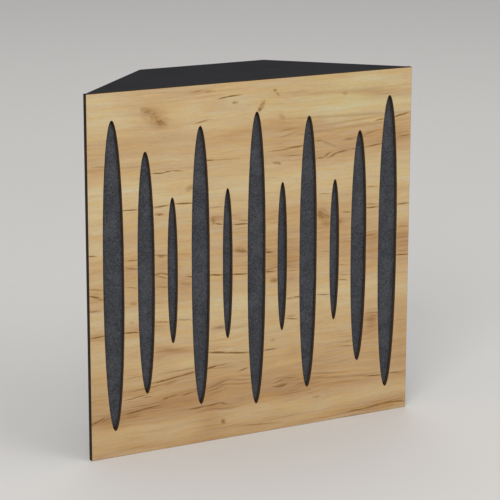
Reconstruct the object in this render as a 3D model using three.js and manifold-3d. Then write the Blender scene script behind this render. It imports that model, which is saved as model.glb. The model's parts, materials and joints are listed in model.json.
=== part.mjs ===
// Corner bass trap: a slotted oak laminate front on a shallow graphite cabinet whose sides run back
// at 45 degrees, filled with foam and mineral wool. Millimetres, +Z up, the front faces -Y.
// The origin is the middle of the footprint, on the floor.

import * as THREE from 'three';
import { mergeVertices } from 'three/addons/utils/BufferGeometryUtils.js';
import Module from 'manifold-3d';

const wasm = await Module();
wasm.setup();

// Front panel
const panelWidth = 500;
const panelHeight = 500;
const panelThickness = 8;
const panelChamfer = 0.4;

// Slots: a middle one and five mirrored pairs, counted from the middle outwards.
// A share is a slot's place from the middle of the panel, as a part of the panel's half width.
// A margin is what a slot leaves between each of its ends and the panel's edge.
const middleSlotShare = 0.009;
const middleSlotMargin = 43.5;
const middleSlotWidth = 27.7;
const firstSlotShare = 0.171;
const firstSlotMargin = 144.75;
const firstSlotWidth = 14.5;
const secondSlotShare = 0.336;
const secondSlotMargin = 55.75;
const secondSlotWidth = 27.2;
const thirdSlotShare = 0.506;
const thirdSlotMargin = 149;
const thirdSlotWidth = 14.8;
const fourthSlotShare = 0.664;
const fourthSlotMargin = 83.25;
const fourthSlotWidth = 24.9;
const outerSlotShare = 0.856;
const outerSlotMargin = 37.5;
const outerSlotWidth = 30.2;
const slotFullness = 2.25;
const slotSideSteps = 26;
const slotEndFocus = 0.35;

// Cabinet of laminated boards
const panelOverhang = 4;
const cabinetDepth = 148;
const sideAngle = Math.PI / 4;
const boardThickness = 8;
const backBoardPlay = 0.5;

// Pine battens in the cabinet's inner edges
const battenSize = 18;

// Filling: the foam behind the slots, then the wool slabs share the depth that it leaves.
// The wool presses the foam forward, so that it stands a little way into each slot.
const foamThickness = 20;
const foamInSlot = 3.6;
const foamEndPlay = 3;
const foamSideSteps = 13;
const slabCount = 2;

// Play between pieces that meet on a slant, and round a fastener in its hole
const fitGap = 0.3;

// How far a cutting tool runs past the surface that it opens
const overrun = 1;

// Dowels between the front panel and the front rails
const dowelDiameter = 6;
const dowelLength = 20;
const dowelChamfer = 0.8;
const dowelInPanel = 4.7;
const dowelSides = 12;

// Countersunk screws
const screwDiameter = 3.5;
const screwHeadDiameter = 7;
const screwRim = 0.4;
const screwPoint = 4;
const backScrewLength = 20;
const railScrewLength = 22;
const screwSides = 10;
const driveWidth = 1.1;
const driveSpan = 4;
const driveDepth = 1.6;

// How far the outer back screws stand in from the back board's edges
const backScrewInset = 12;

// Finishes, as photographed
const oakLaminate = new THREE.MeshStandardMaterial({ color: 0xbf9f70, roughness: 0.5 });
const graphiteLaminate = new THREE.MeshStandardMaterial({ color: 0x323234, roughness: 0.55 });
const graphiteFoam = new THREE.MeshStandardMaterial({ color: 0x414246, roughness: 1 });
const mineralWool = new THREE.MeshStandardMaterial({ color: 0xb9a26a, roughness: 1 });
const pine = new THREE.MeshStandardMaterial({ color: 0xd9bd8c, roughness: 0.7 });
const beech = new THREE.MeshStandardMaterial({ color: 0xcfa679, roughness: 0.65 });
const blackSteel = new THREE.MeshStandardMaterial({ color: 0x1d1d1f, roughness: 0.4, metalness: 0.9 });

// Depths, from the front face of the panel back to the rear face of the cabinet
const totalDepth = panelThickness + cabinetDepth;
const panelFrontY = -totalDepth / 2;
const cabinetFrontY = panelFrontY + panelThickness;
const cabinetBackY = totalDepth / 2;
const backBoardY = cabinetBackY - boardThickness;
const railBackY = cabinetFrontY + battenSize;
const postFrontY = backBoardY - battenSize;

// Heights of the boards and of the rails inside them
const innerBottomZ = boardThickness;
const innerTopZ = panelHeight - boardThickness;
const bottomRailTopZ = innerBottomZ + battenSize;
const topRailBottomZ = innerTopZ - battenSize;

// Half the width of the cabinet at depth y, with its slanted side faces taken in by an inset
function halfWidthAt(y, inset) {
  const frontHalf = panelWidth / 2 - panelOverhang;
  return frontHalf - (y - cabinetFrontY) * Math.tan(sideAngle) - inset / Math.cos(sideAngle);
}

// Plan outline that spans the cabinet between two depths and ends at its inset side faces
function crossOutline(frontY, backY, inset) {
  const front = halfWidthAt(frontY, inset);
  const back = halfWidthAt(backY, inset);
  return [[-front, frontY], [front, frontY], [back, backY], [-back, backY]];
}

// Plan outline of a strip along the right side, between two depths and two insets
function sideOutline(frontY, backY, outerInset, innerInset) {
  return [
    [halfWidthAt(frontY, innerInset), frontY],
    [halfWidthAt(frontY, outerInset), frontY],
    [halfWidthAt(backY, outerInset), backY],
    [halfWidthAt(backY, innerInset), backY],
  ];
}

// The same outline on the left side, still running anticlockwise
function mirrored(outline) {
  return outline.map(([x, y]) => [-x, y]).reverse();
}

const object = new THREE.Group();

function addPiece(name, geometry, material, group) {
  const piece = new THREE.Mesh(geometry, material);
  piece.name = name;
  group.add(piece);
  return piece;
}

// A board, batten or slab: a plan outline raised between two heights
function addUpright(name, outline, bottomZ, topZ, material, group) {
  const shape = new THREE.Shape(outline.map(([x, y]) => new THREE.Vector2(x, y)));
  const geometry = new THREE.ExtrudeGeometry(shape, { depth: topZ - bottomZ, bevelEnabled: false });
  const piece = addPiece(name, geometry, material, group);
  piece.position.z = bottomZ;
  return piece;
}

// Closed geometry to solid and back, for the cuts
function toSolid(geometry, matrix = new THREE.Matrix4()) {
  const bare = geometry.clone();
  bare.deleteAttribute('normal');
  bare.deleteAttribute('uv');
  const merged = mergeVertices(bare).applyMatrix4(matrix);
  return new wasm.Manifold(new wasm.Mesh({
    numProp: 3,
    vertProperties: new Float32Array(merged.attributes.position.array),
    triVerts: new Uint32Array(merged.index.array),
  }));
}

function toGeometry(solid) {
  const mesh = solid.getMesh();
  const geometry = new THREE.BufferGeometry();
  geometry.setAttribute('position', new THREE.BufferAttribute(mesh.vertProperties, mesh.numProp));
  geometry.setIndex(new THREE.BufferAttribute(mesh.triVerts, 1));
  geometry.computeVertexNormals();
  return geometry;
}

// Cuts the shapes of some tools out of a piece, each tool placed in the object's own frame
function drill(piece, tools) {
  piece.updateMatrix();
  const toPiece = piece.matrix.clone().invert();
  let solid = toSolid(piece.geometry);
  for (const tool of tools) {
    tool.updateMatrix();
    solid = solid.subtract(toSolid(tool.geometry, toPiece.clone().multiply(tool.matrix)));
  }
  piece.geometry = toGeometry(solid);
}

// Lens outline of a slot: its width swells from each pointed end as a slightly full ellipse.
// The steps draw together towards the ends, which keeps their small radius round.
function slotPath(centreX, margin, width, sideSteps) {
  const points = [];
  const length = panelHeight - 2 * margin;
  for (const side of [1, -1]) {
    for (let step = 0; step < sideSteps; step += 1) {
      const turn = Math.PI * (step / sideSteps - 1 / 2);
      const angle = turn + slotEndFocus * Math.sin(2 * turn);
      const along = Math.sin(angle) * side;
      const across = Math.sqrt(1 - Math.abs(along) ** slotFullness) * side;
      const height = (panelHeight + along * length) / 2;
      points.push(new THREE.Vector2(centreX + across * width / 2, height));
    }
  }
  return new THREE.Path(points);
}

// Centre, margin and width of every slot
function slotPlaces() {
  const halfWidth = panelWidth / 2;
  const places = [[middleSlotShare * halfWidth, middleSlotMargin, middleSlotWidth]];
  const pairs = [
    [firstSlotShare, firstSlotMargin, firstSlotWidth],
    [secondSlotShare, secondSlotMargin, secondSlotWidth],
    [thirdSlotShare, thirdSlotMargin, thirdSlotWidth],
    [fourthSlotShare, fourthSlotMargin, fourthSlotWidth],
    [outerSlotShare, outerSlotMargin, outerSlotWidth],
  ];
  for (const [share, margin, width] of pairs) {
    for (const side of [-1, 1]) {
      places.push([side * share * halfWidth, margin, width]);
    }
  }
  return places;
}

// Board with its slots, chamfered along every edge of its face and left square at its back
function makeFrontPanel(group) {
  const halfWidth = panelWidth / 2;
  const outline = new THREE.Shape([
    new THREE.Vector2(-halfWidth, 0),
    new THREE.Vector2(halfWidth, 0),
    new THREE.Vector2(halfWidth, panelHeight),
    new THREE.Vector2(-halfWidth, panelHeight),
  ]);
  for (const [centreX, margin, width] of slotPlaces()) {
    outline.holes.push(slotPath(centreX, margin, width, slotSideSteps));
  }
  const chamfered = new THREE.ExtrudeGeometry(outline, {
    depth: panelThickness - panelChamfer,
    bevelThickness: panelChamfer,
    bevelSize: panelChamfer,
    bevelOffset: -panelChamfer,
    bevelSegments: 1,
  });
  const squareBacked = toSolid(chamfered).trimByPlane([0, 0, 1], 0);
  const panel = addPiece('front_panel', toGeometry(squareBacked), oakLaminate, group);
  panel.rotation.x = Math.PI / 2;
  panel.position.y = cabinetFrontY;
  return panel;
}

function makeBoards(group) {
  const closing = crossOutline(cabinetFrontY, cabinetBackY, 0);
  const side = sideOutline(cabinetFrontY, backBoardY, 0, boardThickness);
  const back = crossOutline(backBoardY, cabinetBackY, 0);
  const backBottomZ = innerBottomZ + backBoardPlay;
  const backTopZ = innerTopZ - backBoardPlay;
  return {
    bottom: addUpright('bottom_board', closing, 0, innerBottomZ, graphiteLaminate, group),
    top: addUpright('top_board', closing, innerTopZ, panelHeight, graphiteLaminate, group),
    right: addUpright('right_side_board', side, innerBottomZ, innerTopZ, graphiteLaminate, group),
    left: addUpright('left_side_board', mirrored(side), innerBottomZ, innerTopZ, graphiteLaminate, group),
    back: addUpright('back_board', back, backBottomZ, backTopZ, graphiteLaminate, group),
  };
}

// Battens: rails behind the panel, along the sides and behind the back board, with posts in the rear corners
function makeBattens(group) {
  const outerInset = boardThickness + fitGap;
  const innerInset = boardThickness + battenSize;
  const postInnerX = halfWidthAt(backBoardY, outerInset) - battenSize;
  const frontRail = crossOutline(cabinetFrontY, railBackY, outerInset);
  const sideRail = sideOutline(railBackY, postFrontY, outerInset, innerInset);
  const rearRail = [
    [-postInnerX, postFrontY],
    [postInnerX, postFrontY],
    [postInnerX, backBoardY],
    [-postInnerX, backBoardY],
  ];
  const post = [
    [postInnerX, postFrontY],
    [halfWidthAt(postFrontY, outerInset), postFrontY],
    [halfWidthAt(backBoardY, outerInset), backBoardY],
    [postInnerX, backBoardY],
  ];
  const battens = {};
  const levels = { bottom: [innerBottomZ, bottomRailTopZ], top: [topRailBottomZ, innerTopZ] };
  for (const [level, [lowZ, highZ]] of Object.entries(levels)) {
    battens[level] = {
      front: addUpright(`${level}_front_rail`, frontRail, lowZ, highZ, pine, group),
      right: addUpright(`${level}_right_rail`, sideRail, lowZ, highZ, pine, group),
      left: addUpright(`${level}_left_rail`, mirrored(sideRail), lowZ, highZ, pine, group),
      rear: addUpright(`${level}_rear_rail`, rearRail, lowZ, highZ, pine, group),
    };
  }
  battens.posts = {
    right: addUpright('right_rear_post', post, innerBottomZ, innerTopZ, pine, group),
    left: addUpright('left_rear_post', mirrored(post), innerBottomZ, innerTopZ, pine, group),
  };
  return battens;
}

// Adds to the foam sheet what stands in the slots
function pushIntoSlots(sheet, sheetFrontY) {
  sheet.updateMatrix();
  const toSheet = sheet.matrix.clone().invert();
  const rootY = sheetFrontY + overrun;
  const depth = rootY - (cabinetFrontY - foamInSlot);
  let solid = toSolid(sheet.geometry);
  for (const [centreX, margin, width] of slotPlaces()) {
    const path = slotPath(centreX, margin + foamEndPlay, width - 2 * fitGap, foamSideSteps);
    const outline = new THREE.Shape(path.getPoints());
    const swell = new THREE.Mesh(new THREE.ExtrudeGeometry(outline, { depth, bevelEnabled: false }));
    swell.rotation.x = Math.PI / 2;
    swell.position.y = rootY;
    swell.updateMatrix();
    solid = solid.add(toSolid(swell.geometry, toSheet.clone().multiply(swell.matrix)));
  }
  sheet.geometry = toGeometry(solid);
}

// Foam sheet against the panel, then the wool slabs, all standing on the rails and cut to the slanted sides
function makeFilling(group) {
  const addLayer = (name, frontY, backY, material) => {
    const outline = crossOutline(frontY, backY, boardThickness + fitGap);
    return addUpright(name, outline, bottomRailTopZ + fitGap, topRailBottomZ - fitGap, material, group);
  };
  const foamFrontY = cabinetFrontY + fitGap;
  const foamBackY = foamFrontY + foamThickness;
  pushIntoSlots(addLayer('slot_foam', foamFrontY, foamBackY, graphiteFoam), foamFrontY);
  const slabPitch = (postFrontY - foamBackY - fitGap) / slabCount;
  for (let slab = 0; slab < slabCount; slab += 1) {
    const frontY = foamBackY + fitGap + slab * slabPitch;
    addLayer(`absorber_slab_${slab + 1}`, frontY, frontY + slabPitch - fitGap, mineralWool);
  }
}

function lathe(points, sides) {
  return new THREE.LatheGeometry(points.map(([r, y]) => new THREE.Vector2(r, y)), sides);
}

// A dowel with chamfered ends, its middle at the origin, or the hole that takes it
function dowelGeometry(growth) {
  const radius = dowelDiameter / 2 + growth;
  const half = dowelLength / 2 + growth;
  return lathe([
    [0, -half],
    [radius - dowelChamfer, -half],
    [radius, -half + dowelChamfer],
    [radius, half - dowelChamfer],
    [radius - dowelChamfer, half],
    [0, half],
  ], dowelSides);
}

// A countersunk screw with its head's top at the origin and its point down -Y, or the hole that takes it
function screwGeometry(length, growth, headroom) {
  const headRadius = screwHeadDiameter / 2 + growth;
  const radius = screwDiameter / 2 + growth;
  const coneEnd = -screwRim - (headRadius - radius);
  return lathe([
    [0, -length - growth],
    [radius, -length - growth + screwPoint],
    [radius, coneEnd],
    [headRadius, -screwRim],
    [headRadius, headroom],
    [0, headroom],
  ], screwSides);
}

// The cross recess in a screw's head
function driveTools() {
  const size = [driveSpan, 2 * driveDepth, driveWidth];
  const across = new THREE.Mesh(new THREE.BoxGeometry(...size));
  const along = across.clone();
  along.rotation.y = Math.PI / 2;
  return [across, along];
}

// Turns a piece that was made along +Y so that +Y points the way its head faces, and puts it in place
function aim(piece, place, facing) {
  piece.quaternion.setFromUnitVectors(new THREE.Vector3(0, 1, 0), facing);
  piece.position.copy(place);
  return piece;
}

const pendingCuts = new Map();

function cutLater(piece, tool) {
  pendingCuts.set(piece, [...(pendingCuts.get(piece) ?? []), tool]);
}

function addScrew(name, length, place, facing, held, group) {
  const head = new THREE.Mesh(screwGeometry(length, 0, 0));
  drill(head, driveTools());
  aim(addPiece(name, head.geometry, blackSteel, group), place, facing);
  const tool = aim(new THREE.Mesh(screwGeometry(length, fitGap, overrun)), place, facing);
  for (const piece of held) {
    cutLater(piece, tool);
  }
}

function addDowel(name, place, held, group) {
  const forward = new THREE.Vector3(0, -1, 0);
  aim(addPiece(name, dowelGeometry(0), beech, group), place, forward);
  const tool = aim(new THREE.Mesh(dowelGeometry(fitGap)), place, forward);
  for (const piece of held) {
    cutLater(piece, tool);
  }
}

// Places along the rails, as shares of the length that each rail spans
const dowelShares = [-0.66, 0, 0.66];
const frontScrewShares = [-0.33, 0.33];
const sideScrewShares = [0.2, 0.8];
const slantScrewShare = 0.42;
const postScrewShares = [0.12, 0.5, 0.88];

function makeDowels(panel, battens, group) {
  const y = cabinetFrontY - dowelInPanel + dowelLength / 2;
  const halfRail = halfWidthAt(railBackY, boardThickness);
  const heights = { bottom: innerBottomZ + battenSize / 2, top: innerTopZ - battenSize / 2 };
  let number = 1;
  for (const [level, z] of Object.entries(heights)) {
    for (const share of dowelShares) {
      const place = new THREE.Vector3(share * halfRail, y, z);
      addDowel(`front_dowel_${number}`, place, [panel, battens[level].front], group);
      number += 1;
    }
  }
}

// Screws through the rails into the boards, with their heads inside the cabinet
function makeRailScrews(boards, battens, group) {
  const up = new THREE.Vector3(0, 0, 1);
  const down = new THREE.Vector3(0, 0, -1);
  const levels = [
    { rails: battens.bottom, board: boards.bottom, headZ: bottomRailTopZ, lowZ: innerBottomZ, facing: up },
    { rails: battens.top, board: boards.top, headZ: topRailBottomZ, lowZ: topRailBottomZ, facing: down },
  ];
  const frontRailY = cabinetFrontY + battenSize / 2;
  const halfRail = halfWidthAt(railBackY, boardThickness);
  let number = 1;
  const add = (place, facing, held) => {
    addScrew(`rail_screw_${number}`, railScrewLength, place, facing, held, group);
    number += 1;
  };
  for (const { rails, board, headZ, lowZ, facing } of levels) {
    for (const share of frontScrewShares) {
      add(new THREE.Vector3(share * halfRail, frontRailY, headZ), facing, [rails.front, board]);
    }
    for (const [name, side] of [['right', 1], ['left', -1]]) {
      for (const share of sideScrewShares) {
        const y = railBackY + share * (postFrontY - railBackY);
        const x = side * halfWidthAt(y, boardThickness + battenSize / 2);
        add(new THREE.Vector3(x, y, headZ), facing, [rails[name], board]);
      }
      const y = railBackY + slantScrewShare * (postFrontY - railBackY);
      const x = side * halfWidthAt(y, boardThickness + battenSize);
      const inward = new THREE.Vector3(-side * Math.cos(sideAngle), -Math.sin(sideAngle), 0);
      add(new THREE.Vector3(x, y, lowZ + battenSize / 2), inward, [rails[name], boards[name]]);
    }
  }
}

// Screws through the back board: three into each post and one into each rear rail
function makeBackScrews(boards, battens, group) {
  const rearward = new THREE.Vector3(0, 1, 0);
  const postX = halfWidthAt(cabinetBackY, 0) - backScrewInset;
  let number = 1;
  const add = (x, z, batten) => {
    const place = new THREE.Vector3(x, cabinetBackY, z);
    addScrew(`back_screw_${number}`, backScrewLength, place, rearward, [boards.back, batten], group);
    number += 1;
  };
  for (const [name, side] of [['right', 1], ['left', -1]]) {
    for (const share of postScrewShares) {
      add(side * postX, share * panelHeight, battens.posts[name]);
    }
  }
  add(0, innerBottomZ + battenSize / 2, battens.bottom.rear);
  add(0, innerTopZ - battenSize / 2, battens.top.rear);
}

const panel = makeFrontPanel(object);
const boards = makeBoards(object);
const battens = makeBattens(object);
makeFilling(object);
makeDowels(panel, battens, object);
makeRailScrews(boards, battens, object);
makeBackScrews(boards, battens, object);
for (const [piece, tools] of pendingCuts) {
  drill(piece, tools);
}

export default object;
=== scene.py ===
import json
import math

import bmesh
import bpy
import numpy as np
from mathutils import Matrix, Vector


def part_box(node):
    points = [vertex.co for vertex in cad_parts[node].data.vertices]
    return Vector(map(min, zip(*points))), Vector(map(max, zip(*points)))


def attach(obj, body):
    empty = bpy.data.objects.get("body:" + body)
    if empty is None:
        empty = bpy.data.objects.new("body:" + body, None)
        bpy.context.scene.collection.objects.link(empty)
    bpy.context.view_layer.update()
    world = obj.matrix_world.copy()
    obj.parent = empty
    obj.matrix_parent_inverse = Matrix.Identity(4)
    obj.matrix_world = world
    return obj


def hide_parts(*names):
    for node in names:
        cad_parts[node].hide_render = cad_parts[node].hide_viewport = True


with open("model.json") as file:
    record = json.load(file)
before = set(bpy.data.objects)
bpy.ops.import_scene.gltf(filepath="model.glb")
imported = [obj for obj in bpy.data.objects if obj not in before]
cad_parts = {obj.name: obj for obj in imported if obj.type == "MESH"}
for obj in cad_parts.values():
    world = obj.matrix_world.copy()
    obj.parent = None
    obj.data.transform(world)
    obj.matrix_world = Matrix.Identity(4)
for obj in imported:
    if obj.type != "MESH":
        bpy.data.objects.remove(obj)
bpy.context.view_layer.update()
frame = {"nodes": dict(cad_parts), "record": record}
NODES = frame["nodes"]

# The looks of a corner bass trap round its CAD frame, in metres

MM = 0.001

# The panel's box, from which the camera, the print and the lamps take their places
PANEL_LOW, PANEL_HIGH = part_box("front_panel")
PANEL_HEIGHT = PANEL_HIGH.z - PANEL_LOW.z


def srgb(red, green, blue):
    """A colour written as it is seen, 0 to 255, as the linear colour that a shader takes."""
    def linear(part):
        share = part / 255
        return share / 12.92 if share <= 0.04045 else ((share + 0.055) / 1.055) ** 2.4
    return linear(red), linear(green), linear(blue), 1.0


# Camera: the photograph's, measured from the middle of the panel's lower front edge

CAMERA_OFFSET = Vector((-1.3295, -2.4295, 0.9452))
CAMERA_YAW = math.radians(28.54)
CAMERA_PITCH = math.radians(-13.81)
CAMERA_ROLL = math.radians(0.10)
CAMERA_LENS = 149.5
CAMERA_SENSOR = 36.0
CAMERA_NEAR = 0.05
CAMERA_FAR = 60


def add_camera():
    data = bpy.data.cameras.new("camera")
    data.lens = CAMERA_LENS
    data.sensor_width = CAMERA_SENSOR
    data.clip_start = CAMERA_NEAR
    data.clip_end = CAMERA_FAR
    camera = bpy.data.objects.new("camera", data)
    bpy.context.scene.collection.objects.link(camera)
    camera.location = Vector((0, PANEL_LOW.y, 0)) + CAMERA_OFFSET
    forward = Vector((math.sin(CAMERA_YAW) * math.cos(CAMERA_PITCH),
                      math.cos(CAMERA_YAW) * math.cos(CAMERA_PITCH),
                      math.sin(CAMERA_PITCH)))
    turn = forward.to_track_quat("-Z", "Y").to_matrix() @ Matrix.Rotation(CAMERA_ROLL, 3, "Z")
    camera.rotation_euler = turn.to_euler()
    bpy.context.scene.camera = camera


# Materials

# The colour sockets of a Mix node
MIX_SHARE = 0
MIX_FIRST = 6
MIX_SECOND = 7
MIX_RESULT = 2


class Paint:
    """A node material around one Principled shader. Each method adds a node and gives back its output."""

    def __init__(self, name):
        self.material = bpy.data.materials.new(name)
        self.material.use_nodes = True
        self.tree = self.material.node_tree
        self.shader = self.tree.nodes["Principled BSDF"]

    def put(self, socket, value):
        if isinstance(value, bpy.types.NodeSocket):
            self.tree.links.new(value, socket)
        else:
            socket.default_value = value

    def node(self, kind, inputs, output=0, **settings):
        made = self.tree.nodes.new(kind)
        for name, value in settings.items():
            setattr(made, name, value)
        for key, value in inputs.items():
            self.put(made.inputs[key], value)
        return made.outputs[output]

    def math(self, operation, first, second=0.0, third=0.0, clamp=False):
        values = {0: first, 1: second, 2: third}
        return self.node("ShaderNodeMath", values, operation=operation, use_clamp=clamp)

    def vector(self, operation, first, second):
        return self.node("ShaderNodeVectorMath", {0: first, 1: second}, operation=operation)

    def place(self, scale=(1, 1, 1)):
        """The surface's own place in millimetres, stretched."""
        place = self.node("ShaderNodeTexCoord", {}, output="Object")
        return self.vector("MULTIPLY", place, [part / MM for part in scale])

    def noise(self, place, scale=1.0, detail=2.0, roughness=0.5, distortion=0.0, output=0):
        inputs = {"Vector": place, "Scale": scale, "Detail": detail,
                  "Roughness": roughness, "Distortion": distortion}
        return self.node("ShaderNodeTexNoise", inputs, output=output)

    def grain(self, place, waves, **settings):
        """Noise with its own number of waves per millimetre along x, y and z."""
        return self.noise(self.vector("MULTIPLY", place, waves), **settings)

    def cells(self, place, scale, feature):
        """The distance to a cell's middle or to its edge, as the feature says."""
        inputs = {"Vector": place, "Scale": scale, "Randomness": 1.0}
        return self.node("ShaderNodeTexVoronoi", inputs, feature=feature)

    def bent(self, place, bend, reach):
        """The place, moved by up to a reach in millimetres along a noise's colour."""
        return self.vector("ADD", place, self.vector("MULTIPLY", bend, (reach, reach, reach)))

    def between(self, value, low, high, to_low=0.0, to_high=1.0, smooth=True):
        """0 at the low value and 1 at the high one, or two other numbers, eased or straight."""
        kind = "SMOOTHSTEP" if smooth else "LINEAR"
        inputs = {"Value": value, "From Min": low, "From Max": high, "To Min": to_low, "To Max": to_high}
        return self.node("ShaderNodeMapRange", inputs, interpolation_type=kind)

    def outside(self, low, high, inset):
        """1 within an inset of the sides of the upright rectangle between two corners, and else 0."""
        place = self.node("ShaderNodeTexCoord", {}, output="Object")
        parts = self.tree.nodes.new("ShaderNodeSeparateXYZ")
        self.put(parts.inputs[0], place)
        far = 0.0
        for axis in (0, 2):
            middle = (low[axis] + high[axis]) / 2
            reach = (high[axis] - low[axis]) / 2 - inset
            offset = self.math("ABSOLUTE", self.math("SUBTRACT", parts.outputs[axis], middle))
            far = self.math("MAXIMUM", self.math("GREATER_THAN", offset, reach), far)
        return far

    def ramp(self, value, stops, interpolation="LINEAR"):
        made = self.tree.nodes.new("ShaderNodeValToRGB")
        ramp = made.color_ramp
        ramp.interpolation = interpolation
        while len(ramp.elements) < len(stops):
            ramp.elements.new(1.0)
        for element, (position, colour) in zip(ramp.elements, stops):
            element.position = position
            element.color = colour
        self.put(made.inputs[0], value)
        return made.outputs[0]

    def mix(self, share, first, second, blend="MIX"):
        made = self.tree.nodes.new("ShaderNodeMix")
        made.data_type = "RGBA"
        made.blend_type = blend
        self.put(made.inputs[MIX_SHARE], share)
        self.put(made.inputs[MIX_FIRST], first)
        self.put(made.inputs[MIX_SECOND], second)
        return made.outputs[MIX_RESULT]

    def bump(self, height, strength, distance):
        return self.node("ShaderNodeBump", {"Height": height, "Strength": strength, "Distance": distance})

    def finish(self, colour, roughness, normal=None, specular=0.5, metallic=0.0):
        """Gives the shader its inputs. The specular level and the metal share are plain numbers."""
        self.put(self.shader.inputs["Base Color"], colour)
        self.put(self.shader.inputs["Roughness"], roughness)
        self.shader.inputs["Specular IOR Level"].default_value = specular
        self.shader.inputs["Metallic"].default_value = metallic
        if normal is not None:
            self.put(self.shader.inputs["Normal"], normal)
        return self.material


# Oak laminate. Its print is laid out in millimetres: x is from the panel's middle and z from its lower edge.
# A tone is a share of the way from the darkest of OAK_TONES to the palest, and waves are per millimetre.

OAK_TONES = (
    (0.00, srgb(149, 111, 74)),
    (0.25, srgb(173, 139, 98)),
    (0.50, srgb(186, 157, 115)),
    (0.75, srgb(194, 173, 132)),
    (1.00, srgb(201, 188, 152)),
)

# The print's tint drifts between a warm and a cool one, and one area is a little greener
OAK_HUES = ((1.03, 0.985, 0.87, 1), (0.97, 1.015, 1.12, 1))
OAK_HUE_WAVES = (0.012, 0, 0.14)
OAK_GREENER_AREA = (140, 470, 110, 34, 0)
OAK_GREENER = (0.965, 1.03, 0.985, 1)

CRACK = srgb(109, 77, 31)
KNOT = srgb(130, 93, 44)

# Walls of the slots, and the panel's outer sides, which the cut charred darker. Their tones also carry
# painted light and shade: paler in the slots to make up for the shade there, and darker on the outer sides as
# painted shade.
# In the slots: charred tones painted paler, painted light for the shade inside the slots
SCORCHED_SLOT_PAINTED_LIGHT = srgb(68, 53, 42)
SCORCHED_SLOT_PAINTED_LIGHT_PALER = srgb(91, 72, 55)
# On the outer sides: charred tones painted darker, painted shade
SCORCHED_RIM_PAINTED_SHADE = srgb(46, 37, 30)
SCORCHED_RIM_PAINTED_SHADE_PALER = srgb(58, 46, 36)
SCORCH_WAVES = (1.2, 0.12, 1.2)
SCORCH_ROUGHNESS = 0.5
PANEL_RIM = 0.6 * MM

# How far the print's lines wander in millimetres: slowly over their length, and finely along each line
DRIFT = (0, 0, 10)
DRIFT_WAVES = (0.012, 0, 0.03)
WAVER = (3, 0, 2.0)
WAVER_WAVES = (0.09, 0, 0.16)

# What is left of a soft area at the rim of its ellipse
RIM_SHARE = 0.33

# Areas where the grain leans: x, z, half width, half height, tilt, rise in millimetres over a half width
OAK_LEANS = (
    (-130, 90, 90, 34, 0, 8), (170, 405, 100, 30, 0, 7), (-60, 122, 60, 14, 0, -5), (165, 62, 70, 16, 0, -7),
    (60, 405, 50, 20, 0, 4), (-60, 236, 120, 24, 0, -5), (60, 260, 60, 30, 0, -3), (-30, 455, 90, 26, 0, 3),
)

# Knots that push the grain aside: x, z, half width, half height, tilt, push in millimetres
OAK_SWIRLS = (
    (108, 303, 24, 14, -12, 7), (-150, 462, 24, 14, -35, 5), (190, 141, 18, 10, -8, 4), (43, 64, 26, 9, 0, 7),
    (-44, 62, 22, 18, 20, 5), (31, 484, 10, 8, 0, 3), (-22, 266, 16, 10, -10, 4), (-65, 315, 10, 8, 0, 3),
    (-50, 25, 12, 8, 0, 4), (-146, 331, 14, 7, 0, 3), (-120, 92, 60, 12, 4, 6), (118, 400, 60, 14, 0, -6),
    (36, 382, 20, 8, 0, 4), (9, 464, 12, 10, 60, 4), (28, 132, 10, 6, 0, 2),
)

# Streaks along the grain: waves in each direction, and depth in tone
OAK_STREAKS = (((0.006, 0, 0.09), 0.48), ((0.014, 0, 0.26), 0.43), ((0.035, 0, 0.8), 0.28))

# Bundles of thin lines, and the lines in them
BUNDLE_WAVES = (0.010, 0, 0.045)
LINE_WAVES = (0.009, 0, 0.50)

# Height and tone of the print's level bands
OAK_BANDS = (
    (0, 0.38), (14, 0.42), (30, 0.62), (42, 0.46), (52, 0.20), (70, 0.31), (90, 0.38), (108, 0.46),
    (122, 0.56), (136, 0.52), (152, 0.64), (170, 0.58), (190, 0.78), (208, 0.54), (232, 0.46), (262, 0.44),
    (284, 0.60), (306, 0.50), (326, 0.58), (350, 0.76), (370, 0.68), (392, 0.50), (410, 0.55), (432, 0.43),
    (448, 0.70), (470, 0.60), (490, 0.60), (500, 0.56),
)

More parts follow.
